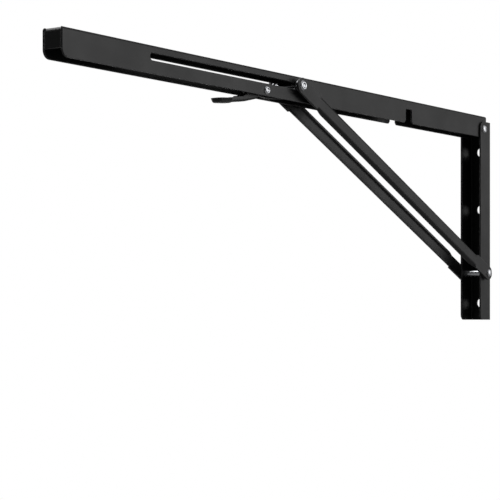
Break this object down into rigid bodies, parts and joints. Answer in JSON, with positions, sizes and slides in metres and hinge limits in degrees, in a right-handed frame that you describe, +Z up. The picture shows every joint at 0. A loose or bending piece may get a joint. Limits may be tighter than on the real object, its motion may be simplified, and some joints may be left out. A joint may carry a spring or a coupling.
{
  "type": "folding shelf bracket",
  "caption": "Wall-mounted folding shelf bracket: a channel arm hinged to a wall plate, propped by a swinging strut whose pin slides in the arm and locks at a sprung lever.",
  "frame": {"origin": "centre of the wall plate's back face, level with the hinge pin", "axes": "+Y into the wall, +Z up, +X to the right for someone who faces the wall; the open arm reaches out along -Y"},
  "size_m": [0.0332, 0.6, 0.1929],
  "materials": {
    "black_coat": "satin black powder coat",
    "zinc_steel": "bright zinc-plated steel",
    "spring_steel": "bare spring wire"
  },
  "bodies": {
    "wall_plate": {"wall_plate": "black_coat", "hinge_pin": "zinc_steel", "lower_pin": "zinc_steel", "lower_sleeve": "zinc_steel", "lower_spacer_left": "zinc_steel", "lower_spacer_right": "zinc_steel"},
    "shelf_arm": {"shelf_arm": "black_coat", "hinge_sleeve": "zinc_steel", "lever_pin": "zinc_steel", "lever_spacer": "zinc_steel"},
    "strut": {"strut_leg_left": "black_coat", "strut_leg_right": "black_coat", "leg_rivet_left": "zinc_steel", "leg_rivet_right": "zinc_steel", "leg_collar_left": "zinc_steel", "leg_collar_right": "zinc_steel"},
    "slide_pin": {"slide_pin": "zinc_steel", "slide_collar_left": "zinc_steel", "slide_collar_right": "zinc_steel"},
    "lock_lever": {"lock_lever": "black_coat", "lever_spring": "spring_steel"}
  },
  "joints": [
    {"name": "arm_fold", "type": "hinge", "parent": "wall_plate", "child": "shelf_arm", "pos_m": [0, -0.0138, 0], "axis": [1, 0, 0], "range_deg": [0, 90]},
    {"name": "strut_swing", "type": "hinge", "parent": "wall_plate", "child": "strut", "pos_m": [0, -0.0118, -0.1362], "axis": [1, 0, 0], "range_deg": [0, 113.01]},
    {"name": "pin_slide", "type": "slide", "parent": "shelf_arm", "child": "slide_pin", "axis": [0, -1, 0], "range_m": [0, 0.16817]},
    {"name": "lever_swing", "type": "hinge", "parent": "shelf_arm", "child": "lock_lever", "pos_m": [0, -0.3683, -0.0034], "axis": [-1, 0, 0], "range_deg": [-7, 7], "stiffness_Nm_per_rad": 0.15, "springref_deg": -20.05}
  ],
  "couplings": [
    {"joint": "strut_swing", "follows": "arm_fold", "ratio": 1.2554},
    {"joint": "pin_slide", "follows": "arm_fold", "m_per_rad": 0.10703}
  ]
}
